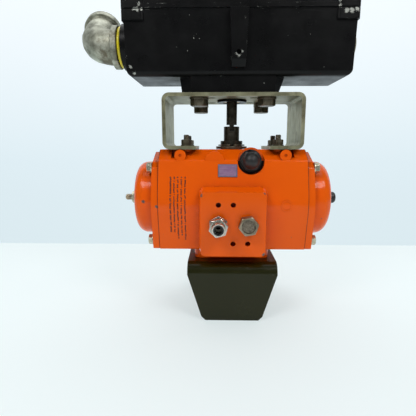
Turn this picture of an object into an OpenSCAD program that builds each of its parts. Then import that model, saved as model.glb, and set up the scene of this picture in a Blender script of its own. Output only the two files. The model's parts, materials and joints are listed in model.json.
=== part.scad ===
// Spring-return rack and pinion valve actuator on a mounting bracket, carrying a switch box.
// Millimetres. +X runs to the right along the cylinder, +Y to the back, +Z up along the drive shaft.
// The origin is on the drive axis, at the foot of the lower bracket, where the valve's flange comes.

/* [Lower bracket] */
// Height of the bracket, up to the actuator's mounting face
bracket_h = 50.3; // [46:0.1:60]
// Depth of the bracket over its two legs
bracket_depth = 93.6; // [88:0.1:100]
// Width of the bracket at its top bend
bracket_top_w = 76; // [74:0.5:84]
// Width of the bracket's legs at the foot
bracket_foot_w = 52.4; // [50:0.1:60]
// Plate thickness of the bracket
plate_t = 5; // [4:0.5:6]
// Bolt circle of the valve flange and of the actuator's base
flange_pcd = 50; // [48:1:52]

/* [Actuator body] */
// Length of the cylinder body between its end faces
body_len = 125; // [122:0.5:130]
// Bore of the cylinder
bore_d = 62; // [60:0.5:63]
// Height of the cylinder's axis
axis_z = 100.5; // [100:0.1:102]
// Height of the body's underside
body_low_z = 59; // [57:0.5:60]
// Height of the flat on top of the body
body_top_z = 145; // [144:0.1:146]
// Half depth of the body at its widest
body_half_y = 40; // [39:0.5:42]
// Width and height of the air connection pad
pad_w = 53; // [50:0.5:56]
// Distance of the pad's face in front of the drive axis
pad_y = 51; // [49:0.5:54]
// Outside diameter of the domes on the end caps
dome_d = 67; // [66:0.5:70]
// Distance of each dome's tip from the drive axis
dome_tip_x = 88; // [86:0.5:92]

/* [Drive] */
// Gear module of the pinion and the racks
gear_module = 1.75; // [1.7:0.05:1.8]
// Number of pinion teeth
pinion_teeth = 16; // [16:1:16]
// Play between the teeth, along the pitch line
backlash = 0.24; // [0.2:0.01:0.4]
// Width across the flats of the square drive socket
socket_af = 14; // [11:1:16]
// Distance of each piston's inner face from the drive axis at rest
piston_x = 29; // [28.5:0.1:30]

/* [Upper bracket] */
// Outside width of the upper bracket
top_bracket_w = 118; // [114:1:120]
// Depth of the upper bracket
top_bracket_depth = 60; // [56:1:64]
// Height of the upper bracket's top face
top_bracket_z = 191; // [188:0.5:195]
// Strip thickness of the upper bracket
strip_t = 3; // [2.5:0.5:4]

/* [Switch box] */
// Middle of the switch box, to the right of the drive axis
box_x = 4.2; // [0:0.1:6]
// Half width of the box at its cover joint
box_half_w = 92.6; // [90:0.1:95]
// Half depth of the box at its cover joint
box_half_d = 29; // [28:0.1:32]
// Height of the box's underside
box_low_z = 204; // [203:0.5:206]
// Height of the joint between box and cover
box_joint_z = 254; // [252:0.5:256]
// Height of the cover's top
cover_top_z = 294; // [290:1:300]
// Wall thickness of the box
box_wall = 4; // [3:0.5:5]
// Height of the conduit entries' axis
entry_z = 233; // [231:0.5:235]

/* [Hidden] */
$fn = 64;
eps = 0.01;

// Colours
orange = [0.88, 0.36, 0.06];
black_paint = [0.07, 0.07, 0.07];
dull_zinc = [0.50, 0.49, 0.42];
bright_zinc = [0.72, 0.69, 0.58];
dark_steel = [0.25, 0.22, 0.19];
nickel = [0.76, 0.74, 0.70];
alloy = [0.68, 0.69, 0.71];
rubber = [0.05, 0.05, 0.05];
bronze = [0.66, 0.50, 0.30];

// Bracket bolts
m6_r = 3;
m6_clear_r = 3.3;
flange_pos = flange_pcd / 2 * sqrt(0.5);
foot_plate_t = 6;
journal_clear_r = 17.5;
stem_hole_r = 13.5;

// Body
half_len = body_len / 2;
gasket_t = 0.5;
cap_x = half_len + gasket_t;
cap_flange_t = 5.5;
bore_r = bore_d / 2;
journal_hole_r = 18;
stop_x = 15.3;
stop_z = 135.5;
stop_floor_y = 24;
crest_y = body_half_y + 1.3;
crest_z = axis_z - 0.5;
shoulder_y = 31.3;
shoulder_z = 136;
slope_angle = atan((crest_y - shoulder_y) / (shoulder_z - crest_z));
port_x = 12;
port_z = axis_z - 15.3;
port_r = 4.86;
m5_r = 2.5;
m5_tap_r = 2.1;
pad_hole_high_z = port_z + 16;
pad_hole_low_z = port_z - 16;
stud_x = 40;
stud_y = 15;
shoulder_boss_x = 44.2;
shoulder_boss_z = 140;
shoulder_boss_y = 31.2;
shoulder_slot_x = 50.5;
cap_screw_y = 27;
cap_screw_zs = [66.5, 129.5];

// Drive
pitch_r = gear_module * pinion_teeth / 2;
tooth_pitch = PI * gear_module;
pressure_angle = 20;
rack_low_z = 90;
rack_high_z = 111;
journal_r = 16;
upper_journal_r = 10;
piston_t = 11;
piston_r = bore_r - 0.3;
seat_depth = 4;
stroke = pitch_r * PI / 2;
travel_stop_x = piston_x + piston_t + stroke + 0.3;
dome_crown = 3.5;
dome_floor_t = 3;
dome_floor_x = dome_tip_x - dome_crown - dome_floor_t;

// Switch box
box_shaft_r = 4.75;
box_screw_x = 28.5;
box_screw_y = 19.5;
entry_r = 13.3;
plug_r = 10.2;
entry_boss_l = 6.5;
plug_boss_l = 3;
earth_hole_z = 221;
cover_screw_x = 84.5;
cover_screw_y = 22;
elbow_washer_t = 3.2;
elbow_r = 14.5;
elbow_bend_r = 18;

// A unit vector
function unit(v) = v / norm(v);

// The points that round one corner b, between its neighbours a and c, with radius r in n steps
function corner(a, b, c, r, n) =
    let (
        u = unit(a - b),
        v = unit(c - b),
        half = acos(u * v) / 2,
        mid = b + unit(u + v) * r / sin(half),
        from = unit(b + u * r / tan(half) - mid),
        to = unit(b + v * r / tan(half) - mid),
        turn = 180 - 2 * half
    )
    [for (k = [0:n]) mid + r * (from * sin((1 - k / n) * turn) + to * sin(k / n * turn)) / sin(turn)];

// An outline whose corner i is rounded with radii[i], or left sharp where that is 0
function rounded(pts, radii, n = 6) =
    let (m = len(pts))
    [for (i = [0:m - 1]) each radii[i] == 0
        ? [pts[i]]
        : corner(pts[(i + m - 1) % m], pts[i], pts[(i + 1) % m], radii[i], n)];

// A right half outline with its mirror image, from the bottom round to the top and down again
function both_sides(half) = concat(half, [for (i = [len(half) - 1:-1:0]) [-half[i][0], half[i][1]]]);

// 2D shape x, y drawn in Y, Z and extruded along X about the middle
module along_x(l) {
    rotate([90, 0, 90]) linear_extrude(l, center = true) children();
}

// 2D shape x, y drawn in X, Z and extruded along Y about the middle
module along_y(l) {
    rotate([90, 0, 0]) linear_extrude(l, center = true) children();
}

// Turns +Z to +X
module to_x() {
    rotate([0, 90, 0]) children();
}

// Turns +Z to the front, -Y
module to_front() {
    rotate([90, 0, 0]) children();
}

module round_rect(w, h, r) {
    square([w - 2 * r, h], center = true);
    square([w, h - 2 * r], center = true);
    for (sx = [-1, 1]) {
        for (sy = [-1, 1]) {
            translate([sx * (w / 2 - r), sy * (h / 2 - r)]) circle(r);
        }
    }
}

module tube(r_out, r_in, h) {
    difference() {
        cylinder(r = r_out, h = h);
        translate([0, 0, -eps]) cylinder(r = r_in, h = h + 2 * eps);
    }
}

// Hexagon with its far edge chamfered, af across the flats
module hex_head(af, h) {
    intersection() {
        cylinder(r = af / sqrt(3), h = h, $fn = 6);
        cylinder(r1 = af * 0.485 + h * 1.73, r2 = af * 0.485, h = h);
    }
}

// Hexagon nut, chamfered on both faces, with a hole of radius r
module hex_nut(af, h, r) {
    difference() {
        intersection() {
            hex_head(af, h);
            translate([0, 0, h]) mirror([0, 0, 1]) hex_head(af, h);
        }
        translate([0, 0, -eps]) cylinder(r = r, h = h + 2 * eps);
    }
}

// Screw standing up out of z = 0: washer, hexagon head, and a shank down to -l
module washer_screw(af, head_h, washer_r, washer_t, shank_r, l) {
    cylinder(r = washer_r, h = washer_t);
    translate([0, 0, washer_t]) hex_head(af, head_h);
    translate([0, 0, -l]) cylinder(r = shank_r, h = l + eps);
}

module at_corners(x, y) {
    for (sx = [-1, 1]) {
        for (sy = [-1, 1]) {
            translate([sx * x, sy * y, 0]) children();
        }
    }
}

// ---- Lower bracket ----

module lower_bracket() {
    bend_r = 9.5;
    top_half = bracket_top_w / 2;
    foot_half = bracket_foot_w / 2;
    chamfer = 3.5;
    bend_z = bracket_h - bend_r;
    color(black_paint) difference() {
        intersection() {
            along_x(bracket_top_w) difference() {
                polygon(rounded(both_sides([[bracket_depth / 2, 0], [bracket_depth / 2, bracket_h]]),
                    [0, bend_r, bend_r, 0], 8));
                polygon(rounded(both_sides([[bracket_depth / 2 - plate_t, -1],
                    [bracket_depth / 2 - plate_t, bracket_h - plate_t]]),
                    [0, bend_r - plate_t, bend_r - plate_t, 0], 8));
            }
            along_y(bracket_depth + 2) polygon(both_sides([[foot_half - chamfer, 0], [foot_half, chamfer],
                [top_half, bend_z], [top_half, bracket_h + 1]]));
        }
        translate([0, 0, bracket_h - plate_t - 1]) {
            cylinder(r = journal_clear_r, h = plate_t + 2);
            at_corners(flange_pos, flange_pos) cylinder(r = m6_clear_r, h = plate_t + 2);
        }
    }
}

module foot_plate() {
    color(black_paint) difference() {
        linear_extrude(foot_plate_t) square([bracket_foot_w - 7, bracket_depth - 2 * plate_t], center = true);
        translate([0, 0, -1]) {
            cylinder(r = stem_hole_r, h = foot_plate_t + 2);
            at_corners(flange_pos, flange_pos) cylinder(r = m6_clear_r, h = foot_plate_t + 2);
        }
    }
}

module bracket_screws() {
    color(bright_zinc) at_corners(flange_pos, flange_pos)
        translate([0, 0, bracket_h - plate_t]) mirror([0, 0, 1]) washer_screw(10, 4, 6, 1.6, m6_r, 14);
}

// ---- Actuator body ----

module body_outline(shrink = 0) {
    top_flat = 19;
    polygon(rounded(both_sides([[32.8 - shrink, body_low_z + shrink], [crest_y - shrink, crest_z],
        [shoulder_y - shrink, shoulder_z - shrink], [top_flat, body_top_z - shrink]]),
        [2, 40, 3, 4, 4, 3, 40, 2], 6));
}

// Pad for the air connections, drafted from its face back to the body
module pad() {
    face_z = axis_z - 42;
    hull() {
        translate([0, -pad_y + 0.5, face_z + pad_w / 2])
            to_front() linear_extrude(0.5) round_rect(pad_w, pad_w, 4);
        translate([0, 1 - body_half_y, face_z + pad_w / 2 + 1.5])
            to_front() linear_extrude(1) round_rect(pad_w + 4, pad_w + 3, 6);
    }
    translate([0, -body_half_y + 5, face_z + pad_w / 2 + 1.5])
        to_front() linear_extrude(5) round_rect(pad_w + 4, pad_w + 3, 6);
}

module body_holes() {
    to_x() translate([-axis_z, 0, -half_len - 1]) cylinder(r = bore_r, h = body_len + 2);
    // Drive shaft: base, cam chamber and top
    translate([0, 0, bracket_h - 1]) cylinder(r = journal_hole_r, h = 30);
    translate([0, 0, 125]) cylinder(r = 18.2, h = 14.5);
    translate([0, 0, 135]) cylinder(r = 12, h = 20);
    // Base bolts
    at_corners(flange_pos, flange_pos) translate([0, 0, bracket_h - 1]) cylinder(r = m6_r, h = 12);
    // Studs for the upper bracket
    at_corners(stud_x, stud_y) translate([0, 0, 134]) cylinder(r = m5_r, h = 12);
    // Slots and dimples in the shoulders
    for (s = [-1, 1]) {
        translate([s * shoulder_slot_x, 0, 0]) along_x(3) for (side = [-1, 1]) {
            polygon([[side * 16, 148], [side * 16, 139], [side * 29, 137.7], [side * 29, 148]]);
        }
        translate([s * shoulder_boss_x, 1 - shoulder_boss_y, shoulder_boss_z])
            to_front() cylinder(r = 1.3, h = 2);
    }
    // Air ports, pad holes, and the drilling that feeds the end chambers
    translate([-port_x, -26, port_z]) to_front() cylinder(r = port_r, h = pad_y - 25);
    translate([port_x, -32.6, port_z]) to_front() cylinder(r = port_r, h = pad_y - 31);
    translate([port_x, -34.5, port_z]) cylinder(r = 1.2, h = 7.3);
    translate([-half_len - 1, -34.5, port_z + 7.3]) to_x() cylinder(r = 1.5, h = body_len + 2);
    for (p = [[-port_x, pad_hole_high_z], [0, pad_hole_high_z],
        [0, pad_hole_low_z], [port_x, pad_hole_low_z]]) {
        translate([p[0], -pad_y + 10, p[1]]) to_front() cylinder(r = m5_tap_r, h = 11);
    }
    // Travel stop: recess and thread
    translate([stop_x, -stop_floor_y, stop_z]) to_front() cylinder(r = 11.3, h = 20);
    translate([stop_x, 0.5, stop_z]) to_front() cylinder(r = m6_r, h = 26);
    for (s = [-1, 1]) {
        for (z = cap_screw_zs) {
            at_corners(0, cap_screw_y) translate([s * (half_len - 6), 0, z]) to_x() translate([0, 0, -8])
                cylinder(r = m5_r, h = 16);
        }
    }
}

module actuator_body() {
    boss_h = 20;
    color(orange) difference() {
        union() {
            along_x(body_len) body_outline();
            translate([0, 0, bracket_h]) linear_extrude(boss_h) round_rect(66, 58, 8);
            pad();
            at_corners(stud_x, stud_y) translate([0, 0, body_top_z - 25]) cylinder(r = 7, h = 25);
            translate([-stop_x, -10, stop_z]) to_front() cylinder(r = 8, h = 21.5);
            for (s = [-1, 1]) {
                translate([s * shoulder_boss_x, shoulder_boss_y, shoulder_boss_z]) to_front()
                    cylinder(r = 4.8, h = 2 * shoulder_boss_y);
            }
            translate([44.5, -35, 99]) to_front() tube(4.6, 3.7, 5.5);
        }
        body_holes();
    }
}

module end_gaskets() {
    color([0.28, 0.10, 0.07]) for (s = [-1, 1]) {
        translate([s * (half_len + gasket_t / 2), 0, 0]) difference() {
            along_x(gasket_t) body_outline(shrink = 0.4);
            to_x() translate([-axis_z, 0, -1]) cylinder(r = bore_r, h = 2);
            for (z = cap_screw_zs) {
                at_corners(0, cap_screw_y) translate([-1, 0, z]) to_x() cylinder(r = m5_r + 0.2, h = 2);
            }
        }
    }
}

// End cap on the right-hand side: bolted flange with a hollow dome for the spring
module end_cap() {
    r = dome_d / 2;
    depth = dome_tip_x - cap_x;
    cavity_l = dome_floor_x - cap_x + 1;
    color(orange) difference() {
        union() {
            translate([cap_x + cap_flange_t / 2, 0, 0]) along_x(cap_flange_t)
                polygon(rounded(both_sides([[32.4, body_low_z + 0.3], [body_half_y + 0.8, axis_z - 0.5],
                    [31, 130], [25, 134.5], [7, 142.6]]), [2, 40, 3, 2, 3, 3, 2, 3, 40, 2], 6));
            translate([cap_x, 0, axis_z]) to_x() rotate_extrude()
                polygon(rounded([[0, 0], [r, 0], [r - 0.6, depth - dome_crown], [8, depth], [0, depth]],
                    [0, 0, 9, 20, 0], 10));
        }
        translate([cap_x - 1, 0, axis_z]) to_x() rotate_extrude()
            polygon(rounded([[0, 0], [r - 3.5, 0], [r - 3.5, cavity_l], [0, cavity_l]], [0, 0, 7, 0], 6));
        translate([cap_x + 10, 0, axis_z]) to_x() cylinder(r = m6_r, h = 40);
        translate([cap_x - 1, -36, port_z + 5.8]) cube([3, 8, 3]);
        for (z = cap_screw_zs) {
            at_corners(0, cap_screw_y) translate([cap_x - 1, 0, z]) to_x() cylinder(r = m5_r + 0.2, h = 20);
        }
    }
}

module right_end_cap() {
    end_cap();
}

module left_end_cap() {
    mirror([1, 0, 0]) end_cap();
}

module end_cap_screws() {
    color(bright_zinc) for (s = [-1, 1]) {
        for (z = cap_screw_zs) {
            at_corners(0, cap_screw_y) translate([s * (cap_x + cap_flange_t), 0, z])
                rotate([0, s * 90, 0]) washer_screw(8, 3.5, 4.9, 1, m5_r, 17);
        }
    }
}

// ---- Travel screws in the end caps ----

module left_travel_screw() {
    tip_x = 99;
    color(bright_zinc) translate([-tip_x, 0, axis_z]) to_x() {
        cylinder(r1 = 2.3, r2 = 2.85, h = 0.8);
        translate([0, 0, 0.8 - eps]) cylinder(r = m6_r - 0.15, h = tip_x - travel_stop_x - 0.8 + eps);
    }
}

module left_travel_nut() {
    color(bright_zinc) translate([-dome_tip_x, 0, axis_z]) rotate([0, -90, 0]) {
        tube(6, m6_r, 0.8);
        translate([0, 0, 0.8]) hex_nut(10, 4, m6_r);
    }
}

module right_travel_screw() {
    color(bright_zinc) translate([travel_stop_x, 0, axis_z]) to_x()
        cylinder(r = m6_r - 0.15, h = dome_tip_x + 5 - travel_stop_x);
}

module right_travel_cap() {
    color(rubber) translate([dome_tip_x, 0, axis_z]) to_x() difference() {
        rotate_extrude() polygon(rounded([[0, 0], [5.5, 0], [5.2, 9], [0, 9]], [0, 0, 2.6, 0], 6));
        translate([0, 0, -eps]) cylinder(r = m6_r, h = 5.5);
    }
}

// ---- Air connections ----

module port_fitting() {
    color(nickel) translate([-port_x, -pad_y, port_z]) to_front() difference() {
        union() {
            translate([0, 0, -9]) cylinder(r = port_r, h = 9 + eps);
            rotate([0, 0, 30]) hex_head(14, 6);
            translate([0, 0, 6 - eps]) cylinder(r = 5.6, h = 4);
            translate([0, 0, 9]) rotate([0, 0, 15]) hex_head(13.4, 5);
            translate([0, 0, 14 - eps]) cylinder(r1 = 5.6, r2 = 4.9, h = 6.5);
        }
        translate([0, 0, -10]) cylinder(r = 2.2, h = 40);
        translate([0, 0, 8]) cylinder(r = 3.05, h = 20);
        translate([0, 0, 17]) cylinder(r = 4.1, h = 20);
    }
}

module port_collet() {
    color(rubber) translate([-port_x, -pad_y, port_z]) to_front()
        translate([0, 0, 17]) tube(4.1, 3.05, 4);
}

module vent_plug() {
    color([0.55, 0.50, 0.42]) translate([port_x, -pad_y, port_z]) to_front() difference() {
        union() {
            translate([0, 0, -9]) cylinder(r = port_r, h = 9 + eps);
            rotate([0, 0, 10]) hex_head(14, 8);
        }
        translate([0, 0, -10]) cylinder(r = 3, h = 20);
        translate([0, 0, 5.5]) cylinder(r = 5.7, h = 5);
    }
}

module vent_disc() {
    color([0.50, 0.44, 0.36]) translate([port_x, -pad_y, port_z]) to_front()
        translate([0, 0, 5.5]) cylinder(r = 5.65, h = 0.9);
}

// ---- Stop screw for the closed position ----

module stop_screw() {
    color(bright_zinc) translate([stop_x, -0.35, stop_z]) to_front() cylinder(r = m6_r - 0.05, h = 33);
}

module stop_seal() {
    color(rubber) translate([stop_x, -stop_floor_y, stop_z]) to_front() tube(11.2, m6_r, 1.2);
}

module stop_cap() {
    color([0.10, 0.10, 0.11]) translate([stop_x, -stop_floor_y - 1.2, stop_z]) to_front() difference() {
        union() {
            cylinder(r = 9.4, h = 1.5);
            translate([0, 0, 1.5]) hex_head(15, 7);
            translate([0, 0, 8.4]) intersection() {
                sphere(7);
                translate([0, 0, -eps]) cylinder(r = 8, h = 8);
            }
        }
        translate([0, 0, -eps]) cylinder(r = m6_r, h = 11);
    }
}

module nameplate() {
    w = 16;
    h = 10.7;
    z = 127.5;
    y = crest_y - (z - crest_z) * tan(slope_angle) + 0.01;
    color([0.45, 0.50, 0.58]) translate([-4.3, -y, z]) rotate([-slope_angle, 0, 0]) to_front()
        linear_extrude(0.6) square([w, h], center = true);
}

// ---- Drive shaft ----

// Angle between a tooth's middle and its flank at radius r, in degrees
function flank_angle(r) =
    let (
        base_r = pitch_r * cos(pressure_angle),
        involute = function (a) tan(a) * 180 / PI - a
    )
    90 / pinion_teeth + involute(pressure_angle) - (r > base_r ? involute(acos(base_r / r)) : 0)
        - backlash / 4 / pitch_r * 180 / PI;

module pinion_outline() {
    root_r = pitch_r - 1.25 * gear_module;
    tip_r = pitch_r + 0.95 * gear_module;
    base_r = pitch_r * cos(pressure_angle);
    steps = 5;
    radii = concat([root_r], [for (k = [0:steps]) base_r + (tip_r - base_r) * k / steps]);
    polygon([for (t = [0:pinion_teeth - 1]) let (mid = 360 * t / pinion_teeth) each concat(
        [for (r = radii) r * [cos(mid - flank_angle(r)), sin(mid - flank_angle(r))]],
        [for (k = [len(radii) - 1:-1:0]) let (r = radii[k])
            r * [cos(mid + flank_angle(r)), sin(mid + flank_angle(r))]])]);
}

module pinion() {
    color(dark_steel) difference() {
        union() {
            translate([0, 0, 51]) cylinder(r = journal_r, h = 35);
            translate([0, 0, 86 - eps]) linear_extrude(30) pinion_outline();
            translate([0, 0, 116 - 2 * eps]) cylinder(r = upper_journal_r, h = 36.4);
            translate([0, 0, 152]) cylinder(r = 7, h = 13);
        }
        // Square socket for the valve stem
        translate([0, 0, 50]) linear_extrude(21) square(socket_af, center = true);
        // Slot for the switch box shaft
        translate([0, 0, 163]) cube([4, 20, 4.2], center = true);
        translate([0, 0, 160]) cylinder(r = 2.1, h = 6);
        // Grooves for the O-rings and the clip
        translate([0, 0, 60.75]) tube(journal_r + 1, 13.6, 2.5);
        translate([0, 0, 141.1]) tube(upper_journal_r + 1, 8, 2.4);
        translate([0, 0, 147.9]) tube(upper_journal_r + 1, 9.1, 1.4);
    }
}

module pinion_rings() {
    color(rubber) {
        translate([0, 0, 62]) rotate_extrude() translate([journal_r - 1.15, 0]) circle(1.14, $fn = 24);
        translate([0, 0, 142.3]) rotate_extrude() translate([upper_journal_r - 0.98, 0]) circle(0.97, $fn = 24);
    }
}

// Quarter sector that meets the stop screw in the closed position
module stop_cam() {
    color(dark_steel) translate([0, 0, 131]) difference() {
        union() {
            cylinder(r = 11.9, h = 8);
            intersection() {
                cylinder(r = 17.7, h = 8);
                cube([20, 20, 8]);
            }
        }
        translate([0, 0, -1]) cylinder(r = upper_journal_r, h = 10);
    }
}

module thrust_washer() {
    color(dark_steel) translate([0, 0, body_top_z + 0.3]) tube(14, upper_journal_r, 2.3);
}

module shaft_clip() {
    color([0.30, 0.28, 0.25]) translate([0, 0, 148]) difference() {
        union() {
            tube(12, 9.15, 1.2);
            for (s = [-1, 1]) {
                translate([s * 3.2, -12.4, 0]) cylinder(r = 2, h = 1.2);
            }
        }
        translate([-1.6, -16, -1]) cube([3.2, 10, 4]);
        translate([0, 0, -1]) cylinder(r = 9.15, h = 4);
    }
}

module lower_bush() {
    color(bronze) translate([0, 0, 51.5]) tube(journal_hole_r, journal_r + 0.05, 16);
}

module upper_bush() {
    color(bronze) translate([0, 0, 139.6]) tube(12, upper_journal_r + 0.05, body_top_z - 139.6);
}

// ---- Pistons ----

// Rack seen from above, with its gap opposite the pinion's tooth at x = 0
module rack_outline(tip_x) {
    add = 0.9 * gear_module;
    ded = 1.25 * gear_module;
    gap = tooth_pitch / 4 + backlash / 4;
    back_y = 24.5;
    lean = tan(pressure_angle);
    difference() {
        translate([tip_x, -back_y]) square([piston_x - tip_x + 1, back_y - pitch_r + add]);
        for (k = [-5:4]) {
            translate([k * tooth_pitch, -pitch_r]) polygon(both_sides([[gap - ded * lean, -ded],
                [gap + (add + 1) * lean, add + 1]]));
        }
    }
}

// Right-hand piston: head, and a rack that reaches past the pinion in front of it
module piston() {
    tip_x = 2 - piston_x;
    color(alloy) difference() {
        union() {
            translate([piston_x, 0, axis_z]) to_x() cylinder(r = piston_r, h = piston_t);
            intersection() {
                translate([0, 0, rack_low_z]) linear_extrude(rack_high_z - rack_low_z) rack_outline(tip_x);
                translate([-50, 0, axis_z]) to_x() cylinder(r = piston_r - 1, h = 100);
            }
        }
        // Seat for the spring
        translate([piston_x + piston_t - seat_depth, 0, axis_z]) to_x() tube(23, 5, seat_depth + 1);
        // Grooves for the seal and the guide band
        translate([piston_x + 2, 0, axis_z]) to_x() tube(bore_r + 1, piston_r - 2.4, 2.6);
        translate([piston_x + 7, 0, axis_z]) to_x() tube(bore_r + 1, piston_r - 1.4, 2.6);
    }
}

module piston_rings() {
    color([0.15, 0.15, 0.16]) {
        translate([piston_x + 2.1, 0, axis_z]) to_x() tube(bore_r - 0.06, piston_r - 2.4, 2.4);
        translate([piston_x + 7.1, 0, axis_z]) to_x() tube(bore_r - 0.06, piston_r - 1.4, 2.4);
    }
}

// Pad on the back of the rack that slides along the bore
module rack_guide() {
    color([0.85, 0.84, 0.78]) translate([-22, -29.6, axis_z - 6]) cube([40, 5.1, 12]);
}

module right_piston() {
    piston();
}

module left_piston() {
    rotate([0, 0, 180]) piston();
}

module right_piston_rings() {
    piston_rings();
}

module left_piston_rings() {
    rotate([0, 0, 180]) piston_rings();
}

module right_rack_guide() {
    rack_guide();
}

module left_rack_guide() {
    rotate([0, 0, 180]) rack_guide();
}

// Coil spring between the right-hand piston and its end cap
module spring() {
    wire_r = 1.6;
    coil_r = 19.5;
    turns = 5.5;
    turn_steps = 18;
    sides = 8;
    from_x = piston_x + piston_t - seat_depth + wire_r + 0.1;
    to_x = dome_floor_x - wire_r - 0.5;
    n = turns * turn_steps;
    points = [for (i = [0:n]) let (a = 360 * turns * i / n) for (j = [0:sides - 1])
        let (b = 360 * j / sides, r = coil_r + wire_r * cos(b))
        [from_x + (to_x - from_x) * i / n + wire_r * sin(b), r * cos(a), r * sin(a)]];
    walls = [for (i = [0:n - 1]) for (j = [0:sides - 1]) let (k = (j + 1) % sides)
        each [[i * sides + j, i * sides + k, (i + 1) * sides + k], [i * sides + j, (i + 1) * sides + k,
            (i + 1) * sides + j]]];
    ends = [[for (j = [sides - 1:-1:0]) j], [for (j = [0:sides - 1]) n * sides + j]];
    color([0.35, 0.35, 0.38]) translate([0, 0, axis_z]) polyhedron(points, concat(walls, ends));
}

module right_spring() {
    spring();
}

module left_spring() {
    rotate([0, 0, 180]) spring();
}

// ---- Upper bracket ----

module upper_bracket() {
    h = top_bracket_z - body_top_z;
    gap = 62;
    bend_r = 6;
    color(dull_zinc) difference() {
        translate([0, 0, body_top_z + h / 2]) along_y(top_bracket_depth) difference() {
            round_rect(top_bracket_w, h, bend_r);
            round_rect(top_bracket_w - 2 * strip_t, h - 2 * strip_t, bend_r - strip_t);
            translate([-gap / 2, -h]) square([gap, h]);
        }
        at_corners(stud_x, stud_y) translate([0, 0, body_top_z - 1]) cylinder(r = 2.75, h = 5);
        translate([0, 0, top_bracket_z - strip_t - 1]) {
            cylinder(r = 13.5, h = strip_t + 2);
            at_corners(flange_pos, flange_pos) cylinder(r = m6_clear_r, h = strip_t + 2);
            at_corners(box_screw_x, box_screw_y) cylinder(r = 4.3, h = strip_t + 2);
        }
    }
}

module bracket_studs() {
    color(dark_steel) at_corners(stud_x, stud_y) translate([0, 0, 134.2]) {
        cylinder(r = m5_r, h = 22.6);
        translate([0, 0, 22.6 - eps]) cylinder(r1 = m5_r, r2 = m5_r - 0.6, h = 0.7);
    }
}

module bracket_nuts() {
    color(dark_steel) at_corners(stud_x, stud_y) translate([0, 0, body_top_z + strip_t]) {
        tube(5, m5_r, 1);
        translate([0, 0, 1]) hex_nut(8, 4.4, m5_r);
    }
}

module box_screws() {
    rear_washer_t = 3.8;
    color(dark_steel) for (sx = [-1, 1]) {
        translate([sx * box_screw_x, 0, top_bracket_z - strip_t]) mirror([0, 0, 1]) {
            translate([0, -box_screw_y, 0]) washer_screw(13, 5.5, 8, 1.6, 4, 12);
            translate([0, box_screw_y, 0]) rotate([0, 0, 30]) washer_screw(13, 5.5, 7, rear_washer_t, 4, 12);
        }
    }
}

// ---- Switch box ----

// Box outline drafted in both directions, from z = low to high, wall set in by inset
module drafted(low, high, inset, bottom_r) {
    draft = 0.022;
    w = box_half_w - inset;
    d = box_half_d - inset;
    lean = draft * (high - low);
    intersection() {
        along_y(4 * d) polygon(rounded(both_sides([[w - lean, low], [w, high]]), [bottom_r, 0, 0, bottom_r], 6));
        along_x(4 * w) polygon(rounded(both_sides([[d - lean, low], [d, high]]), [bottom_r, 0, 0, bottom_r], 6));
    }
}

module corner_blocks(low, high, x_in, x_out, y_in, y_out) {
    for (sx = [-1, 1]) {
        for (sy = [-1, 1]) {
            x = sx * (x_in + x_out) / 2;
            y = sy * (y_in + y_out) / 2;
            translate([x, y, low]) linear_extrude(high - low) round_rect(x_out - x_in, y_out - y_in, 3);
        }
    }
}

module conduit_holes(r_left, r_right) {
    translate([-box_half_w - 10, 0, entry_z]) to_x() cylinder(r = r_left, h = 30);
    translate([box_half_w - 20, 0, entry_z]) to_x() cylinder(r = r_right, h = 30);
}

module switch_box() {
    rib_y = box_half_d + 4.6;
    foot_plan = [[34.5, -25], [43.5, -16], [43.5, 16], [34.5, 25],
        [-34.5, 25], [-45, 16], [-45, -16], [-34.5, -25]];
    foot_front = [[-43, top_bracket_z], [37.7, top_bracket_z], [43.4, box_low_z + 1], [-45, box_low_z + 1]];
    color(black_paint) difference() {
        union() {
            translate([box_x, 0, 0]) {
                drafted(box_low_z, box_joint_z, 0, 5);
                corner_blocks(box_joint_z - 8, box_joint_z, 75.5, box_half_w + 1.6, 12, box_half_d + 1.6);
                for (s = [-1, 1]) {
                    translate([s * (box_half_w - 6), 0, entry_z]) rotate([0, s * 90, 0])
                        cylinder(r = s < 0 ? 19 : 16, h = 6 + (s < 0 ? entry_boss_l : plug_boss_l));
                }
            }
            // Rib with the earth screw's hole, on the front
            translate([box_x - 0.4, 0, 0]) intersection() {
                translate([0, -20, 0]) to_front() linear_extrude(20)
                    polygon([[-5.5, 210], [5.5, 210], [7.3, box_joint_z], [-7.3, box_joint_z]]);
                along_x(30) polygon(rounded([[-20, 210], [-20, box_joint_z], [-rib_y, box_joint_z],
                    [-rib_y, 216], [3.4 - rib_y, 210]], [0, 0, 0, 3, 1.5], 5));
            }
            intersection() {
                translate([0, 0, top_bracket_z])
                    linear_extrude(box_low_z - top_bracket_z + 1) polygon(foot_plan);
                along_y(60) polygon(foot_front);
            }
            translate([0, 0, top_bracket_z - 5]) cylinder(r = 13, h = 8);
        }
        difference() {
            translate([box_x, 0, box_wall]) drafted(box_low_z, box_joint_z + 5, box_wall, 2);
            translate([box_x, 0, 0]) corner_blocks(box_low_z, box_joint_z, 75.5, box_half_w, 13, box_half_d);
        }
        translate([box_x, 0, 0]) {
            conduit_holes(entry_r, plug_r);
            at_corners(cover_screw_x, cover_screw_y) translate([0, 0, box_joint_z - 14])
                cylinder(r = m6_r, h = 15);
        }
        translate([0, 0, 180]) cylinder(r = 8, h = 40);
        at_corners(box_screw_x, box_screw_y) translate([0, 0, top_bracket_z - 1]) cylinder(r = 4, h = 12);
        translate([box_x - 0.4, 8 - rib_y, earth_hole_z]) to_front() cylinder(r = 2, h = 10);
    }
}

module box_bush() {
    color(bronze) translate([0, 0, top_bracket_z - 4.5]) tube(8, box_shaft_r + 0.05, 21);
}

module box_shaft() {
    tang_z = 161.3;
    color(dark_steel) {
        translate([0, 0, 166.7]) cylinder(r = box_shaft_r, h = 252 - 166.7);
        translate([-1.95, -4.4, tang_z]) cube([3.9, 8.8, 166.7 - tang_z + eps]);
    }
}

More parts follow.
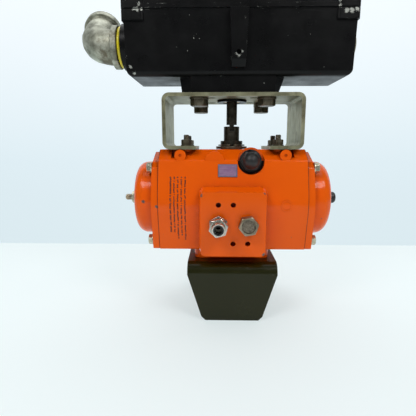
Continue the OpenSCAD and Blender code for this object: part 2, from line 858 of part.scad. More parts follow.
module switch_targets() {
    color(alloy) for (k = [0, 1]) {
        translate([0, 0, 222 + 15 * k]) rotate([0, 0, -90 * k]) difference() {
            union() {
                cylinder(r = 9, h = 8);
                translate([0, 0, 2]) intersection() {
                    cylinder(r = 14.5, h = 4);
                    translate([0, -7, 0]) cube([20, 14, 4]);
                }
            }
            translate([0, 0, -1]) cylinder(r = box_shaft_r, h = 10);
        }
    }
}

module limit_switches() {
    color([0.10, 0.16, 0.30]) for (k = [0, 1]) {
        translate([17, -9, 221 + 15 * k]) {
            difference() {
                cube([38, 18, 10]);
                for (x = [14, 30]) {
                    translate([x, 5, -1]) cylinder(r = 1.6, h = 12);
                }
            }
        }
    }
}

module switch_holder() {
    color(alloy) {
        translate([17, 9, 208]) cube([40, 2, 40]);
        translate([17, -9, 208]) cube([40, 18, 2]);
    }
}

module terminal_strip() {
    poles = 8;
    step = 7.5;
    color([0.20, 0.35, 0.24]) translate([-20 - poles * step, -9, 208]) difference() {
        cube([poles * step, 18, 13]);
        for (k = [0:poles - 1]) {
            translate([(k + 0.5) * step, 0, 0]) {
                translate([0, 9, 10]) cylinder(r = 2.2, h = 5);
                translate([-2.4, -1, 4]) cube([4.8, 5, 5]);
                translate([-2.4, 14, 4]) cube([4.8, 5, 5]);
            }
        }
    }
}

module cover_gasket() {
    t = 0.8;
    color([0.16, 0.15, 0.14]) translate([box_x, 0, box_joint_z]) difference() {
        linear_extrude(t) round_rect(2 * box_half_w - 1, 2 * box_half_d - 1, 3);
        translate([0, 0, -1]) linear_extrude(3) round_rect(2 * box_half_w - 9, 2 * box_half_d - 9, 2);
        at_corners(cover_screw_x, cover_screw_y) translate([0, 0, -1]) cylinder(r = m6_clear_r, h = 4);
    }
}

module box_cover() {
    low = box_joint_z + 0.8;
    lug_top = low + 11;
    color(black_paint) translate([box_x, 0, 0]) difference() {
        union() {
            translate([0, 0, low + cover_top_z]) mirror([0, 0, 1]) drafted(low, cover_top_z, 0, 6);
            corner_blocks(low, lug_top, 75.5, box_half_w + 1.6, 12, box_half_d + 1.6);
            translate([0, 0, low]) linear_extrude(3.2)
                round_rect(2 * box_half_w + 2.4, 2 * box_half_d + 2.4, 3);
        }
        difference() {
            translate([0, 0, low + cover_top_z - box_wall]) mirror([0, 0, 1])
                drafted(low, cover_top_z + 5, box_wall, 4);
            corner_blocks(low, cover_top_z, 75.5, box_half_w, 13, box_half_d);
        }
        at_corners(cover_screw_x, cover_screw_y) {
            translate([0, 0, low - 1]) cylinder(r = m6_clear_r, h = 20);
            translate([0, 0, lug_top]) cylinder(r = 6.2, h = 40);
        }
    }
}

module cover_screws() {
    color(bright_zinc) translate([box_x, 0, box_joint_z + 11.8]) at_corners(cover_screw_x, cover_screw_y)
        difference() {
            union() {
                washer_screw(8.6, 0.2, 5.4, 1.2, m6_r, 25);
                translate([0, 0, 1.2]) cylinder(r = 5, h = 5.5);
            }
            translate([0, 0, 3.5]) cylinder(r = 5 / sqrt(3), h = 5, $fn = 6);
        }
}

// ---- Conduit fittings ----

// Tube of radius r, bending a quarter turn from -X to +Z
module quarter_bend(r) {
    translate([0, 0, elbow_bend_r]) rotate([90, 0, 0]) rotate([0, 0, 180])
        rotate_extrude(angle = 90) translate([elbow_bend_r, 0]) circle(r);
}

// Street elbow from the box's left-hand entry, bending up and back
module conduit_elbow() {
    collar_t = 5.5;
    collar_x = box_x - box_half_w - entry_boss_l - elbow_washer_t;
    tilt = 53;
    outlet_l = 40;
    bead_l = 7;
    bore = 10.5;
    mouth_l = 18;
    color(dull_zinc) translate([collar_x - collar_t, 0, entry_z]) difference() {
        union() {
            to_x() {
                cylinder(r = 18, h = collar_t);
                translate([0, 0, collar_t - 1]) cylinder(r = entry_r - 0.05, h = 16);
            }
            rotate([-tilt, 0, 0]) {
                quarter_bend(elbow_r);
                translate([-elbow_bend_r, 0, elbow_bend_r - 1])
                    cylinder(r = elbow_r + 0.2, h = outlet_l - elbow_bend_r);
                translate([-elbow_bend_r, 0, outlet_l - bead_l]) cylinder(r = 17.5, h = bead_l);
            }
        }
        translate([-1, 0, 0]) to_x() cylinder(r = bore - 0.1, h = 40);
        rotate([-tilt, 0, 0]) {
            quarter_bend(bore);
            translate([-elbow_bend_r, 0, elbow_bend_r - 1]) cylinder(r = bore + 0.1, h = 20);
            translate([-elbow_bend_r, 0, outlet_l - mouth_l]) cylinder(r = 13, h = mouth_l + 5);
        }
    }
}

module elbow_washer() {
    wall_x = box_x - box_half_w - entry_boss_l;
    color([0.93, 0.84, 0.05]) translate([wall_x - elbow_washer_t, 0, entry_z]) to_x() rotate_extrude()
        polygon(rounded([[entry_r, 0], [17, 0], [17, elbow_washer_t], [entry_r, elbow_washer_t]], [0, 1.4, 1.4, 0], 5));
}

module conduit_plug() {
    wall_x = box_x + box_half_w + plug_boss_l;
    color(bright_zinc) translate([wall_x, 0, entry_z]) to_x() difference() {
        union() {
            rotate_extrude() polygon(rounded([[0, 0], [12, 0], [11.4, 4], [0, 4]], [0, 0, 2, 0], 5));
            translate([0, 0, -13]) cylinder(r = plug_r - 0.05, h = 13 + eps);
        }
        translate([0, 0, 1.5]) cylinder(r = 10 / sqrt(3), h = 6, $fn = 6);
        translate([0, 0, -14]) cylinder(r = 7.5, h = 12);
    }
}

lower_bracket();
foot_plate();
bracket_screws();
actuator_body();
left_end_cap();
right_end_cap();
end_gaskets();
end_cap_screws();
left_travel_screw();
left_travel_nut();
right_travel_screw();
right_travel_cap();
port_fitting();
port_collet();
vent_plug();
vent_disc();
stop_screw();
stop_seal();
stop_cap();
nameplate();
lower_bush();
upper_bush();
pinion();
pinion_rings();
stop_cam();
thrust_washer();
shaft_clip();
left_piston();
right_piston();
left_piston_rings();
right_piston_rings();
left_rack_guide();
right_rack_guide();
left_spring();
right_spring();
upper_bracket();
bracket_studs();
bracket_nuts();
box_screws();
switch_box();
box_bush();
box_shaft();
switch_targets();
limit_switches();
switch_holder();
terminal_strip();
cover_gasket();
box_cover();
cover_screws();
conduit_elbow();
elbow_washer();
conduit_plug();
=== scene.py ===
"""Looks for the pneumatic actuator: materials, cast and rolled edges, threads, marks, floor, lights and camera.

Lengths are in metres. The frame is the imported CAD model: +X right along the cylinder, +Y back, +Z up.
"""

import json
import math
import random

import bpy
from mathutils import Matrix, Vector


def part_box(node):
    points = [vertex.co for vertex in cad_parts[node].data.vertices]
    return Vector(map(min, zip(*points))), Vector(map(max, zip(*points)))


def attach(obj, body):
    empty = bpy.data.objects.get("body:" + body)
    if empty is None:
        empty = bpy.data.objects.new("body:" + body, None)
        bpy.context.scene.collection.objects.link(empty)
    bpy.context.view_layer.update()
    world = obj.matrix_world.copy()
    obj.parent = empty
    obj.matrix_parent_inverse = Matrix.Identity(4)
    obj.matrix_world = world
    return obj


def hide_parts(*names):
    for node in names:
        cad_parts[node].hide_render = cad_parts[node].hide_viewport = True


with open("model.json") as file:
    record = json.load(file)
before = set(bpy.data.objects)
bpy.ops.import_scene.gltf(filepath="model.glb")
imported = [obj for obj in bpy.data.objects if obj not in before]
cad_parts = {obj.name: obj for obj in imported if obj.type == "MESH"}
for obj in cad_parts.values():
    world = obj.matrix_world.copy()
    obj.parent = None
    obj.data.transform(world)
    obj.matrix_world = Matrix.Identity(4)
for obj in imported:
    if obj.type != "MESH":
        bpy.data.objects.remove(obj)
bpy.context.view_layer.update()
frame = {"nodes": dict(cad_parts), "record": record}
MM = 0.001
nodes = frame["nodes"]
slot_of = {row["node"]: row["material_slot"] for row in frame["record"]["subparts"]}
body_of = {node: body for body, names in frame["record"]["behaviour"]["bodies"].items() for node in names}
# The faces of a box whose eight points run through x first, then the second and the third direction
BOX_FACES = ((0, 1, 3, 2), (4, 6, 7, 5), (0, 4, 5, 1), (2, 3, 7, 6), (0, 2, 6, 4), (1, 5, 7, 3))


# ---- Shader helpers ----

class Shader:
    """A material under construction, with one Principled shader and short calls for its nodes."""

    def __init__(self, name, rough=0.4, metallic=0.0, specular=0.5, coat=0.0, coat_rough=0.1):
        self.material = bpy.data.materials.new(name)
        self.material.use_nodes = True
        self.tree = self.material.node_tree
        self.surface = self.tree.nodes["Principled BSDF"]
        self.set("Roughness", rough)
        self.set("Metallic", metallic)
        self.set("Specular IOR Level", specular)
        self.set("Coat Weight", coat)
        self.set("Coat Roughness", coat_rough)
        self.place = self.tree.nodes.new("ShaderNodeTexCoord").outputs["Object"]

    def set(self, socket, value):
        """A constant goes on the shader's own socket, and a node's output is linked to it."""
        if isinstance(value, bpy.types.NodeSocket):
            self.tree.links.new(value, self.surface.inputs[socket])
        else:
            self.surface.inputs[socket].default_value = value

    def node(self, kind, inputs=None, **settings):
        made = self.tree.nodes.new(kind)
        for key, value in settings.items():
            setattr(made, key, value)
        for key, value in (inputs or {}).items():
            if isinstance(value, bpy.types.NodeSocket):
                self.tree.links.new(value, made.inputs[key])
            else:
                made.inputs[key].default_value = value
        return made

    def stretched(self, stretch):
        return self.node("ShaderNodeMapping", {"Vector": self.place, "Scale": stretch}).outputs[0]

    def noise(self, per_metre, detail=3.0, roughness=0.55, stretch=None):
        where = self.stretched(stretch) if stretch else self.place
        return self.node("ShaderNodeTexNoise", {"Vector": where, "Scale": per_metre, "Detail": detail,
                                                "Roughness": roughness}).outputs["Fac"]

    def cells(self, per_metre):
        return self.node("ShaderNodeTexVoronoi", {"Vector": self.place, "Scale": per_metre}).outputs["Color"]

    def ramp(self, value, stops):
        """Maps a value to a colour or a grey. stops are (position, colour or number)."""
        made = self.node("ShaderNodeValToRGB", {"Fac": value})
        points = made.color_ramp.elements
        while len(points) < len(stops):
            points.new(0.5)
        for point, (position, colour) in zip(points, stops):
            point.position = position
            grey = isinstance(colour, (int, float))
            point.color = (colour, colour, colour, 1) if grey else (*colour, 1)
        return made.outputs["Color"]

    def mix(self, amount, first, second):
        made = self.node("ShaderNodeMix", data_type="RGBA")
        for socket, value in ((made.inputs[0], amount), (made.inputs[6], first), (made.inputs[7], second)):
            if isinstance(value, bpy.types.NodeSocket):
                self.tree.links.new(value, socket)
            elif socket is made.inputs[0]:
                socket.default_value = value
            else:
                socket.default_value = (*value, 1)
        return made.outputs[2]

    def math(self, operation, first, second=0.0, clamp=False):
        return self.node("ShaderNodeMath", {0: first, 1: second}, operation=operation, use_clamp=clamp).outputs[0]

    def edges(self, radius, sharpness=6.0):
        """1 along convex and concave edges, 0 on flat faces: how far the rounded normal leans off the true one."""
        rounded = self.node("ShaderNodeBevel", {"Radius": radius}, samples=4).outputs[0]
        true = self.node("ShaderNodeNewGeometry").outputs["Normal"]
        dot = self.node("ShaderNodeVectorMath", {0: rounded, 1: true}, operation="DOT_PRODUCT").outputs["Value"]
        return self.math("MULTIPLY", self.math("SUBTRACT", 1.0, dot), sharpness, clamp=True)

    def crevices(self, distance):
        """0 in open air, 1 deep in corners."""
        shade = self.node("ShaderNodeAmbientOcclusion", {"Distance": distance}, samples=4).outputs["AO"]
        return self.math("SUBTRACT", 1.0, shade, clamp=True)

    def near(self, spots):
        """1 at the given spots, fading out raggedly. spots are (x, y, z, reach) in millimetres."""
        ragged = self.math("MULTIPLY", self.math("SUBTRACT", self.noise(900, 6, 0.85), 0.5), 7 * MM)
        total = 0.0
        for x, y, z, reach in spots:
            gap = self.node("ShaderNodeVectorMath", {0: self.place, 1: (x * MM, y * MM, z * MM)},
                            operation="DISTANCE").outputs["Value"]
            inside = self.math("LESS_THAN", self.math("ADD", gap, ragged), reach * MM)
            total = self.math("MAXIMUM", inside, total)
        return total

    def bump(self, height, strength, distance):
        self.set("Normal", self.node("ShaderNodeBump", {"Height": height, "Strength": strength,
                                                        "Distance": distance}).outputs[0])


def grey(level):
    return (level, level, level)


def paint(name, base, dark, bare, rough, chip_from, edge_radius, orange_peel, coat=0.0, dust=None, scratches=0.0,
          specular=0.5, worn=()):
    """Paint over metal: orange peel, uneven gloss, painted shade darkening the corners in noisy patches, and bare
    metal where edges are knocked.
    """
    s = Shader(name, specular=specular, coat=coat, coat_rough=0.08)
    cloud = s.noise(28, 4)
    colour = s.mix(s.ramp(cloud, [(0.35, 0.0), (0.7, 0.35)]), base, dark)
    # Painted shade: the paint is darkened in corners and crevices, where shade falls, in noisy patches.
    corner_shade_and_dirt = s.math("MULTIPLY", s.crevices(0.006), s.ramp(s.noise(240, 4), [(0.3, 0.35), (0.65, 1.0)]), clamp=True)
    colour = s.mix(s.math("MULTIPLY", corner_shade_and_dirt, 0.75), colour, [c * 0.25 for c in base])
    if dust:
        haze = s.ramp(s.noise(55, 6, 0.65), [(0.45, 0.0), (0.75, 0.22)])
        colour = s.mix(haze, colour, dust)
    patches = s.ramp(s.noise(90, 5, 0.7), [(chip_from - 0.03, 0.0), (chip_from + 0.03, 1.0)])
    chips = s.math("MULTIPLY", s.ramp(s.edges(edge_radius), [(0.2, 0.0), (0.45, 1.0)]), patches, clamp=True)
    specks = s.ramp(s.noise(330, 2, 0.5), [(0.775, 0.0), (0.79, 1.0)])
    chips = s.math("MAXIMUM", chips, specks)
    if worn:
        chips = s.math("MAXIMUM", chips, s.near(worn))
    s.set("Base Color", s.mix(chips, colour, bare))
    s.set("Metallic", s.math("MULTIPLY", chips, 0.8))
    gloss = s.ramp(s.noise(60, 5, 0.6), [(0.3, rough * 0.75), (0.75, rough * 1.35)])
    s.set("Roughness", s.mix(chips, gloss, grey(0.42)))
    height = s.math("MULTIPLY", s.noise(orange_peel, 2), 0.6)
    if scratches:
        lines = s.ramp(s.noise(90, 6, 0.8, (1.0, 1.0, 14.0)), [(0.60, 0.0), (0.63, 1.0)])
        height = s.math("SUBTRACT", height, s.math("MULTIPLY", lines, scratches))
    height = s.math("SUBTRACT", height, s.math("MULTIPLY", chips, 0.9))
    s.bump(height, 0.25, 0.00025)
    return s.material


def metal(name, dark, light, rough, per_metre=120, stretch=None, stain_and_shade=None, stain_from=0.55, grain=0.2,
          bright_edges=0.0, metallic=0.9):
    """Bare or plated metal: mottled colour, uneven gloss, stains with painted shade darkening the corners, and rubbed
    edges.
    """
    s = Shader(name, metallic=metallic)
    mottle = s.noise(per_metre, 5, 0.6, stretch)
    colour = s.mix(s.ramp(mottle, [(0.32, 0.0), (0.68, 1.0)]), dark, light)
    if stain_and_shade:
        marks = s.ramp(s.noise(45, 5, 0.7), [(stain_from, 0.0), (stain_from + 0.14, 0.8)])
        # Painted shade: corners and crevices are darkened with the same colour as the stains, where shade falls.
        marks = s.math("MAXIMUM", marks, s.math("MULTIPLY", s.crevices(0.004), 0.85))
        colour = s.mix(marks, colour, stain_and_shade)
    if bright_edges:
        rubbed = s.math("MULTIPLY", s.ramp(s.edges(0.0005), [(0.1, 0.0), (0.5, 1.0)]), bright_edges)
        colour = s.mix(rubbed, colour, [min(1.0, c * 1.7 + 0.05) for c in light])
    s.set("Base Color", colour)
    s.set("Roughness", s.ramp(s.noise(per_metre * 1.7, 4, 0.6, stretch), [(0.3, rough * 0.75), (0.7, rough * 1.3)]))
    fine = s.noise(per_metre * 9, 3, 0.6, stretch)
    s.bump(s.math("ADD", s.math("MULTIPLY", fine, 0.5), mottle), grain, 0.0002)
    return s.material


def plastic(name, base, light, rough, per_metre=500, grain=0.12, specular=0.5, wear=0.0):
    """Moulded plastic or rubber: fine grain, handling marks and slightly greyed edges."""
    s = Shader(name, specular=specular)
    colour = s.mix(s.ramp(s.noise(70, 5), [(0.4, 0.0), (0.75, 0.5)]), base, light)
    if wear:
        rubbed = s.math("MULTIPLY", s.ramp(s.edges(0.0006), [(0.15, 0.0), (0.6, 1.0)]), wear)
        colour = s.mix(rubbed, colour, light)
    s.set("Base Color", colour)
    s.set("Roughness", s.ramp(s.noise(110, 4), [(0.3, rough * 0.8), (0.7, rough * 1.25)]))
    s.bump(s.noise(per_metre, 3), grain, 0.0002)
    return s.material


def galvanized(name):
    """Hot-dip zinc over a rough casting: grey spangle, pale bloom, brown stains, and the same brown put into crevices
    as painted shade.
    """
    s = Shader(name, metallic=0.75)
    spangle = s.ramp(s.cells(230), [(0.1, (0.18, 0.18, 0.135)), (0.9, (0.34, 0.35, 0.275))])
    bloom = s.ramp(s.noise(60, 6, 0.65), [(0.42, 0.0), (0.62, 0.85)])
    colour = s.mix(bloom, spangle, (0.64, 0.65, 0.54))
    brown = s.ramp(s.noise(38, 6, 0.72), [(0.53, 0.0), (0.66, 0.8)])
    # Painted shade: crevices are darkened with the same brown, where shade falls.
    brown = s.math("MAXIMUM", brown, s.math("MULTIPLY", s.crevices(0.008), 0.9))
    colour = s.mix(brown, colour, (0.10, 0.075, 0.04))
    s.set("Base Color", colour)
    s.set("Roughness", s.ramp(s.noise(95, 5), [(0.3, 0.36), (0.7, 0.66)]))
    s.bump(s.noise(330, 5, 0.65), 0.45, 0.0006)
    return s.material


def sintered(name):
    """Pressed bronze grains."""
    s = Shader(name, metallic=0.55)
    s.set("Base Color", s.mix(s.ramp(s.noise(1400, 3), [(0.35, 0.0), (0.65, 1.0)]), (0.10, 0.08, 0.055),
                              (0.36, 0.31, 0.24)))
    s.set("Roughness", s.ramp(s.noise(700, 2), [(0.3, 0.55), (0.7, 0.85)]))
    s.bump(s.noise(1500, 4, 0.7), 0.8, 0.0005)
    return s.material


def foil(name):
    """Foil label with a tinted, streaked field inside a plain border."""
    s = Shader(name, metallic=0.35)
    place = s.node("ShaderNodeSeparateXYZ", {"Vector": s.place})
    low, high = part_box("nameplate")
    margin = 0.9 * MM

    def inside(axis, socket):
        middle = (low[axis] + high[axis]) / 2
        reach = (high[axis] - low[axis]) / 2 - margin
        away = s.math("ABSOLUTE", s.math("SUBTRACT", socket, middle))
        return s.math("LESS_THAN", away, reach)

    field = s.math("MULTIPLY", inside(0, place.outputs[0]), inside(2, place.outputs[2]))
    rubbed = s.ramp(s.noise(160, 6, 0.75, (1.0, 1.0, 3.0)), [(0.42, 0.0), (0.62, 0.7)])
    tint = s.mix(rubbed, (0.24, 0.13, 0.25), (0.36, 0.24, 0.36))
    s.set("Base Color", s.mix(field, (0.13, 0.17, 0.24), tint))
    s.set("Roughness", s.ramp(s.noise(300, 4), [(0.3, 0.32), (0.7, 0.55)]))
    s.bump(s.noise(900, 3), 0.15, 0.0001)
    return s.material


def seal_with_painted_shade(name, paint_colour):
    """The stop's seal: the upper half takes the body's paint colour, and the near-black lower half is painted shade
    for the shadowed recess under the cap.
    """
    s = Shader(name, rough=0.45, specular=0.25)
    low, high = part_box("stop_seal")
    height = s.node("ShaderNodeSeparateXYZ", {"Vector": s.place}).outputs[2]
    ragged = s.math("MULTIPLY", s.math("SUBTRACT", s.noise(400, 4), 0.5), 2 * MM)
    painted = s.math("GREATER_THAN", s.math("ADD", height, ragged), (low.z + high.z) / 2)
    # Painted shade: the near-black lower half stands for the dark crescent of shadow in the recess below the cap.
    s.set("Base Color", s.mix(painted, grey(0.008), paint_colour))
    s.bump(s.noise(500, 3), 0.12, 0.0002)
    return s.material


# Where the paint is worn through: x, y, z and reach in millimetres
BODY_WORN = ((-26, -51, 109, 1.2), (25.5, -51, 60, 1.6), (-63.5, -40, 98, 1.2), (-76, -33, 101, 1.3),
             (25, -51, 111, 1.0), (63, -38, 118, 1.0))
BOX_WORN = ((-79, -31, 254.0, 1.1), (-76.5, -31, 253.5, 1.3), (-73, -31, 253.8, 1.1), (-75, -31, 257.5, 0.9),
            (-85, -31, 262, 1.2), (87, -31, 251.5, 1.7), (91, -31, 251.5, 1.7), (95, -31, 252.5, 1.5),
            (81.5, -31, 255, 1.2), (81, -31, 259, 1.1), (-84, -28, 211.5, 1.1), (-81, -27, 206.5, 1.0),
            (-87, -27, 219, 0.9), (2.2, -33.6, 219.8, 0.9), (5.8, -33.6, 221, 0.9), (3.8, -33.6, 218.4, 0.8),
            (8, -33, 246, 0.5))

MATERIALS = {
    "orange_paint": paint("orange_paint", (0.86, 0.112, 0.001), (0.76, 0.088, 0.001), (0.16, 0.13, 0.11), 0.17,
                          0.66, 0.0007, 620, coat=0.12, specular=0.16, worn=BODY_WORN),
    "black_bracket": paint("black_bracket", (0.014, 0.0145, 0.001), (0.022, 0.021, 0.004), (0.16, 0.15, 0.13), 0.22,
                           0.70, 0.0006, 500, coat=0.1, scratches=0.35, specular=0.22),
    "black_casting": paint("black_casting", (0.0025, 0.0025, 0.0026), (0.005, 0.005, 0.005), (0.40, 0.41, 0.37), 0.33,
                           0.62, 0.0008, 820, dust=(0.014, 0.0145, 0.015), scratches=0.25, specular=0.16,
                           worn=BOX_WORN),
    "dull_zinc": metal("dull_zinc", (0.19, 0.18, 0.105), (0.38, 0.37, 0.24), 0.46, 70, (1.0, 6.0, 1.0),
                       stain_and_shade=(0.085, 0.065, 0.03), stain_from=0.56, grain=0.25, bright_edges=0.3),
    "galvanized": galvanized("galvanized"),
    "bright_zinc": metal("bright_zinc", (0.40, 0.35, 0.23), (0.66, 0.62, 0.48), 0.30, 260,
                         stain_and_shade=(0.16, 0.11, 0.05), stain_from=0.60, bright_edges=0.5),
    "dark_steel": metal("dark_steel", (0.075, 0.065, 0.042), (0.22, 0.195, 0.14), 0.42, 210,
                        stain_and_shade=(0.05, 0.032, 0.018), stain_from=0.56, grain=0.35, bright_edges=0.5),
    "oily_steel": metal("oily_steel", (0.026, 0.023, 0.016), (0.085, 0.076, 0.058), 0.40, 210,
                        stain_and_shade=(0.02, 0.016, 0.01), stain_from=0.56, grain=0.35, bright_edges=0.35),
    "spring_steel": metal("spring_steel", grey(0.07), grey(0.15), 0.35, 200),
    "nickel": metal("nickel", (0.44, 0.41, 0.35), (0.70, 0.67, 0.60), 0.22, 240, stain_and_shade=(0.22, 0.17, 0.10),
                    stain_from=0.60, bright_edges=0.4),
    "vent_metal": metal("vent_metal", (0.24, 0.20, 0.13), (0.44, 0.39, 0.30), 0.42, 260,
                        stain_and_shade=(0.13, 0.10, 0.06), stain_from=0.52, grain=0.35, bright_edges=0.5),
    "sintered_bronze": sintered("sintered_bronze"),
    "bronze": metal("bronze", (0.36, 0.22, 0.08), (0.55, 0.38, 0.18), 0.35, 150),
    "alloy": metal("alloy", grey(0.42), grey(0.62), 0.32, 180, (1.0, 8.0, 8.0)),
    "black_rubber": plastic("black_rubber", grey(0.012), grey(0.035), 0.42, wear=0.5),
    # The stop's seal, with painted shade on its lower half.
    "seal_with_painted_shade": seal_with_painted_shade("seal_with_painted_shade", (0.76, 0.095, 0.001)),
    "gasket_fibre": plastic("gasket_fibre", (0.06, 0.012, 0.006), (0.11, 0.03, 0.015), 0.75),
    "acetal": plastic("acetal", (0.72, 0.70, 0.62), (0.80, 0.78, 0.72), 0.45),
    "plate_foil": foil("plate_foil"),
    "yellow_washer": plastic("yellow_washer", (0.82, 0.66, 0.012), (0.88, 0.78, 0.05), 0.30, specular=0.6),
    "switch_plastic": plastic("switch_plastic", (0.02, 0.05, 0.14), (0.04, 0.08, 0.20), 0.45),
    "ink": plastic("ink", (0.03, 0.012, 0.008), (0.16, 0.035, 0.008), 0.5),
    "terminal_plastic": plastic("terminal_plastic", (0.04, 0.15, 0.06), (0.07, 0.22, 0.10), 0.45),
}


# ---- CAD nodes: materials, and edges broken as a casting, bend or cut leaves them ----

EDGE_MM = {
    "actuator_body": 1.3, "left_end_cap": 0.8, "right_end_cap": 0.8, "switch_box": 1.5, "box_cover": 1.6,
    "lower_bracket": 0.7, "foot_plate": 0.5, "upper_bracket": 0.45, "pinion": 0.35, "box_shaft": 0.3,
}
SMALL_EDGE_MM = 0.18
# Nodes whose surface is round all over, so no edge is broken
PLAIN = {"left_spring", "right_spring", "pinion_rings"}
# Nodes that look different from the rest of their material slot
FINISH = {"pinion": "oily_steel", "box_shaft": "oily_steel", "stop_seal": "seal_with_painted_shade"}


def break_edges(thing, width, angle_deg=32, segments=3):
    """Joins the split vertices, merges coplanar triangles and rounds every edge sharper than the angle."""
    weld = thing.modifiers.new("weld", "WELD")
    weld.merge_threshold = 1e-6
    flat = thing.modifiers.new("merge_flats", "DECIMATE")
    flat.decimate_type = "DISSOLVE"
    flat.angle_limit = math.radians(0.5)
    bevel = thing.modifiers.new("broken_edges", "BEVEL")
    bevel.limit_method = "ANGLE"
    bevel.angle_limit = math.radians(angle_deg)
    bevel.width = width
    bevel.segments = segments
    bevel.harden_normals = False
    bevel.miter_outer = "MITER_ARC"


def smooth(thing):
    """Smooth shading whose normals follow the larger faces, so flats stay flat between rounded edges."""
    mesh = thing.data
    if mesh.has_custom_normals:
        mesh.attributes.remove(mesh.attributes["custom_normal"])
    mesh.polygons.foreach_set("use_smooth", [True] * len(mesh.polygons))
    normals = thing.modifiers.new("weighted_normals", "WEIGHTED_NORMAL")
    normals.keep_sharp = True
    normals.weight = 80


def dress(name):
    thing = nodes[name]
    thing.data.materials.clear()
    thing.data.materials.append(MATERIALS[FINISH.get(name, slot_of[name])])
    if name not in PLAIN:
        break_edges(thing, EDGE_MM.get(name, SMALL_EDGE_MM) * MM)
    smooth(thing)


for node_name in nodes:
    dress(node_name)


# ---- Pieces made here ----

def new_piece(name, points, faces, material, body):
    mesh = bpy.data.meshes.new(name)
    mesh.from_pydata([Vector(p) for p in points], [], faces)
    mesh.update()
    mesh.polygons.foreach_set("use_smooth", [True] * len(mesh.polygons))
    mesh.materials.append(MATERIALS[material])
    thing = bpy.data.objects.new(name, mesh)
    bpy.context.scene.collection.objects.link(thing)
    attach(thing, body)
    return thing


def threaded_rod(name, start, along, length, radius, pitch, body, material, tip=0.0007):
    """A screw thread: rings of points whose radius follows the thread's flanks as they climb round the rod."""
    sides, steps_per_pitch = 40, 8
    depth = pitch * 0.55 * 0.8
    tip_share = 0.78
    along = Vector(along).normalized()
    across = along.orthogonal().normalized()
    third = along.cross(across)
    rings = int(length / pitch * steps_per_pitch)
    points = []
    for i in range(rings + 1):
        z = length * i / rings
        taper = min(1.0, min(z, length - z) / tip)
        for j in range(sides):
            turn = j / sides
            phase = (z / pitch - turn) % 1.0
            # The flanks rise between flat roots and flat crests
            crest = min(1.0, max(0.0, 2.2 * (1 - abs(2 * phase - 1)) - 0.6))
            r = (radius - depth * (1 - crest)) * (tip_share + (1 - tip_share) * taper)
            a = 2 * math.pi * turn
            points.append(Vector(start) + along * z + (across * math.cos(a) + third * math.sin(a)) * r)
    faces = []
    for i in range(rings):
        for j in range(sides):
            k = (j + 1) % sides
            faces.append((i * sides + j, i * sides + k, (i + 1) * sides + k, (i + 1) * sides + j))
    faces.append(tuple(range(sides - 1, -1, -1)))
    faces.append(tuple(rings * sides + j for j in range(sides)))
    return new_piece(name, points, faces, material, body)


def left_travel_thread():
    low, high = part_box("left_travel_screw")
    middle = (low + high) / 2
    radius, pitch = (high.z - low.z) / 2, 1.0 * MM
    rod = threaded_rod("left_travel_thread", (low.x, middle.y, middle.z), (1, 0, 0), high.x - low.x,
                       radius, pitch, "housing", "bright_zinc")
    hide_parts("left_travel_screw")


def stud_threads():
    low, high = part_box("bracket_studs")
    radius, pitch = 2.5 * MM, 0.8 * MM
    rods = []
    for i, x in enumerate((low.x + radius, high.x - radius)):
        for j, y in enumerate((low.y + radius, high.y - radius)):
            rods.append(threaded_rod(f"bracket_stud_{i}{j}", (x, y, low.z), (0, 0, 1), high.z - low.z, radius,
                                     pitch, "housing", "dark_steel"))
    for rod in rods:
        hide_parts("bracket_studs")


def cast_copy(name, node, voxel, passes, material, lump=0.0, lump_size=0.006):
    """The CAD node remeshed finely and smoothed, so edges and inside corners are rounded as in a casting."""
    mesh = nodes[node].data.copy()
    mesh.materials.clear()
    mesh.materials.append(MATERIALS[material])
    thing = bpy.data.objects.new(name, mesh)
    bpy.context.scene.collection.objects.link(thing)
    remesh = thing.modifiers.new("remesh", "REMESH")
    remesh.mode = "VOXEL"
    remesh.voxel_size = voxel
    remesh.use_smooth_shade = True
    soften = thing.modifiers.new("soften", "SMOOTH")
    soften.factor = 0.5
    soften.iterations = passes
    if lump:
        clouds = bpy.data.textures.new(name + "_lumps", "CLOUDS")
        clouds.noise_scale = lump_size
        uneven = thing.modifiers.new("uneven", "DISPLACE")
        uneven.texture = clouds
        uneven.strength = lump
        uneven.mid_level = 0.5
    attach(thing, body_of[node])
    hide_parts(node)
    return thing


def small_print():
    """Rows of worn print on the left of the body, as plain bars with no letters in them."""
    random.seed(7)
    body = nodes["actuator_body"]
    depsgraph = bpy.context.evaluated_depsgraph_get()
    target = body.evaluated_get(depsgraph)
    first_x, pitch, top_z = -52.0 * MM, 3.05 * MM, 122.5 * MM
    lift, thick = 0.03 * MM, 0.05 * MM
    bold_half_w, half_w_rest = 0.62 * MM, 0.5 * MM
    gaps = (0.25 * MM, 0.25 * MM, 0.3 * MM, 1.2 * MM)
    ray_from_y = -0.12
    row_lengths = (47, 47, 53, 51, 54)

    def surface(x, z):
        hit, place, _, _ = target.ray_cast((x, ray_from_y, z), (0, 1, 0))
        return place.y if hit else None

    points, faces = [], []
    for row, length in enumerate(row_lengths):
        x = first_x + row * pitch
        half_w = bold_half_w if row == 0 else half_w_rest
        z = top_z
        while z > top_z - length * MM:
            word = random.uniform(0.5, 1.1) * MM
            ys = surface(x, z), surface(x, z - word)
            shift = random.uniform(-0.25, 0.25) * MM
            if None not in ys:
                base = len(points)
                for y, zz in zip(ys, (z, z - word)):
                    for depth in (lift, lift + thick):
                        points += [(x - half_w + shift, y - depth, zz), (x + half_w + shift, y - depth, zz)]
                faces += [tuple(base + i for i in face) for face in BOX_FACES]
            z -= word + random.choice(gaps)
    new_piece("small_print", points, faces, "ink", "housing")


left_travel_thread()
stud_threads()
cast_copy("elbow_casting", "conduit_elbow", 0.55 * MM, 8, "galvanized", lump=0.9 * MM, lump_size=0.011)
small_print()


# ---- Floor, backdrop, lights and camera ----

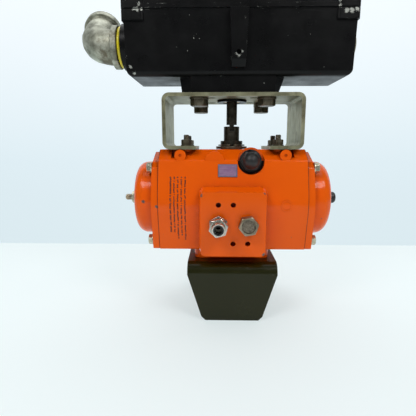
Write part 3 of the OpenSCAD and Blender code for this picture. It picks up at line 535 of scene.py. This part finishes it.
def stage_slab(name, low, high, colour, painted_glow):
    """A plain slab whose emission is painted light, given as (height, colour) stops, so it shines though it is no
    lamp.
    """
    s = Shader(name, rough=0.6, specular=0.2)
    s.set("Base Color", s.mix(s.ramp(s.noise(3, 3), [(0.3, 0.0), (0.7, 1.0)]), colour, [c * 0.96 for c in colour]))
    height = s.node("ShaderNodeSeparateXYZ", {"Vector": s.place}).outputs[2]
    bottom, top = painted_glow[0][0], painted_glow[-1][0]
    share = s.math("DIVIDE", s.math("SUBTRACT", height, bottom), top - bottom, clamp=True)
    # Painted light: the slab's emission, brighter or darker by height.
    s.set("Emission Color", s.ramp(share, [((z - bottom) / (top - bottom), c) for z, c in painted_glow]))
    s.set("Emission Strength", 1.0)
    points = [(x, y, z) for z in (low[2], high[2]) for y in (low[1], high[1]) for x in (low[0], high[0])]
    mesh = bpy.data.meshes.new(name)
    mesh.from_pydata(points, [], BOX_FACES)
    mesh.materials.append(s.material)
    thing = bpy.data.objects.new(name, mesh)
    bpy.context.scene.collection.objects.link(thing)


def table_and_backdrop():
    """A pale table that ends a hand's width behind the object, and a sheet behind it; both shine with painted light,
    the sheet brighter towards the top.
    """
    # Painted light: the table's emission lifts the shade around the object, and the backdrop's grows brighter towards
    # the top.
    stage_slab("table", (-1.6, -0.7, -0.02), (1.6, 0.19, 0.0), (0.42, 0.44, 0.44),
               ((-0.02, (0.36, 0.42, 0.44)), (0.0, (0.45, 0.51, 0.515))))
    stage_slab("backdrop", (-2.5, 0.75, -1.2), (2.5, 0.77, 2.2), (0.20, 0.22, 0.23),
               ((-0.30, (0.62, 0.73, 0.765)), (0.10, (0.65, 0.755, 0.80)), (0.45, (0.77, 0.83, 0.865)),
                (0.65, (0.82, 0.87, 0.90))))


def area_light(name, place, target, width, height, watts, colour=(1, 1, 1)):
    light = bpy.data.lights.new(name, "AREA")
    light.shape = "RECTANGLE"
    light.size = width
    light.size_y = height
    light.energy = watts
    light.color = colour
    thing = bpy.data.objects.new(name, light)
    thing.location = place
    thing.rotation_euler = (Vector(target) - Vector(place)).to_track_quat("-Z", "Y").to_euler()
    bpy.context.scene.collection.objects.link(thing)


def lights():
    middle = (0, 0, 0.12)
    area_light("softbox_left", (-0.47, -0.60, 0.80), middle, 0.42, 0.28, 3.2)
    area_light("softbox_right", (0.47, -0.60, 0.80), middle, 0.42, 0.28, 3.2)
    area_light("overhead", (0, 0.2, 1.3), middle, 1.2, 0.9, 5)
    world = bpy.data.worlds.new("studio")
    world.use_nodes = True
    world.node_tree.nodes["Background"].inputs["Color"].default_value = (0.90, 0.95, 1.0, 1)
    world.node_tree.nodes["Background"].inputs["Strength"].default_value = 0.22
    bpy.context.scene.world = world


def camera():
    """Slightly above the cylinder's axis and left of it, tilted 10 degrees down, 0.33 m away."""
    data = bpy.data.cameras.new("camera")
    data.lens = 30.29
    data.sensor_width = 36.0
    data.clip_start = 0.01
    thing = bpy.data.objects.new("camera", data)
    thing.location = (-0.014, -0.327, 0.1478)
    thing.rotation_euler = (math.radians(79.96), 0.0, math.radians(1.31))
    bpy.context.scene.collection.objects.link(thing)
    bpy.context.scene.camera = thing
    bpy.context.scene.view_settings.view_transform = "Standard"


table_and_backdrop()
lights()
camera()
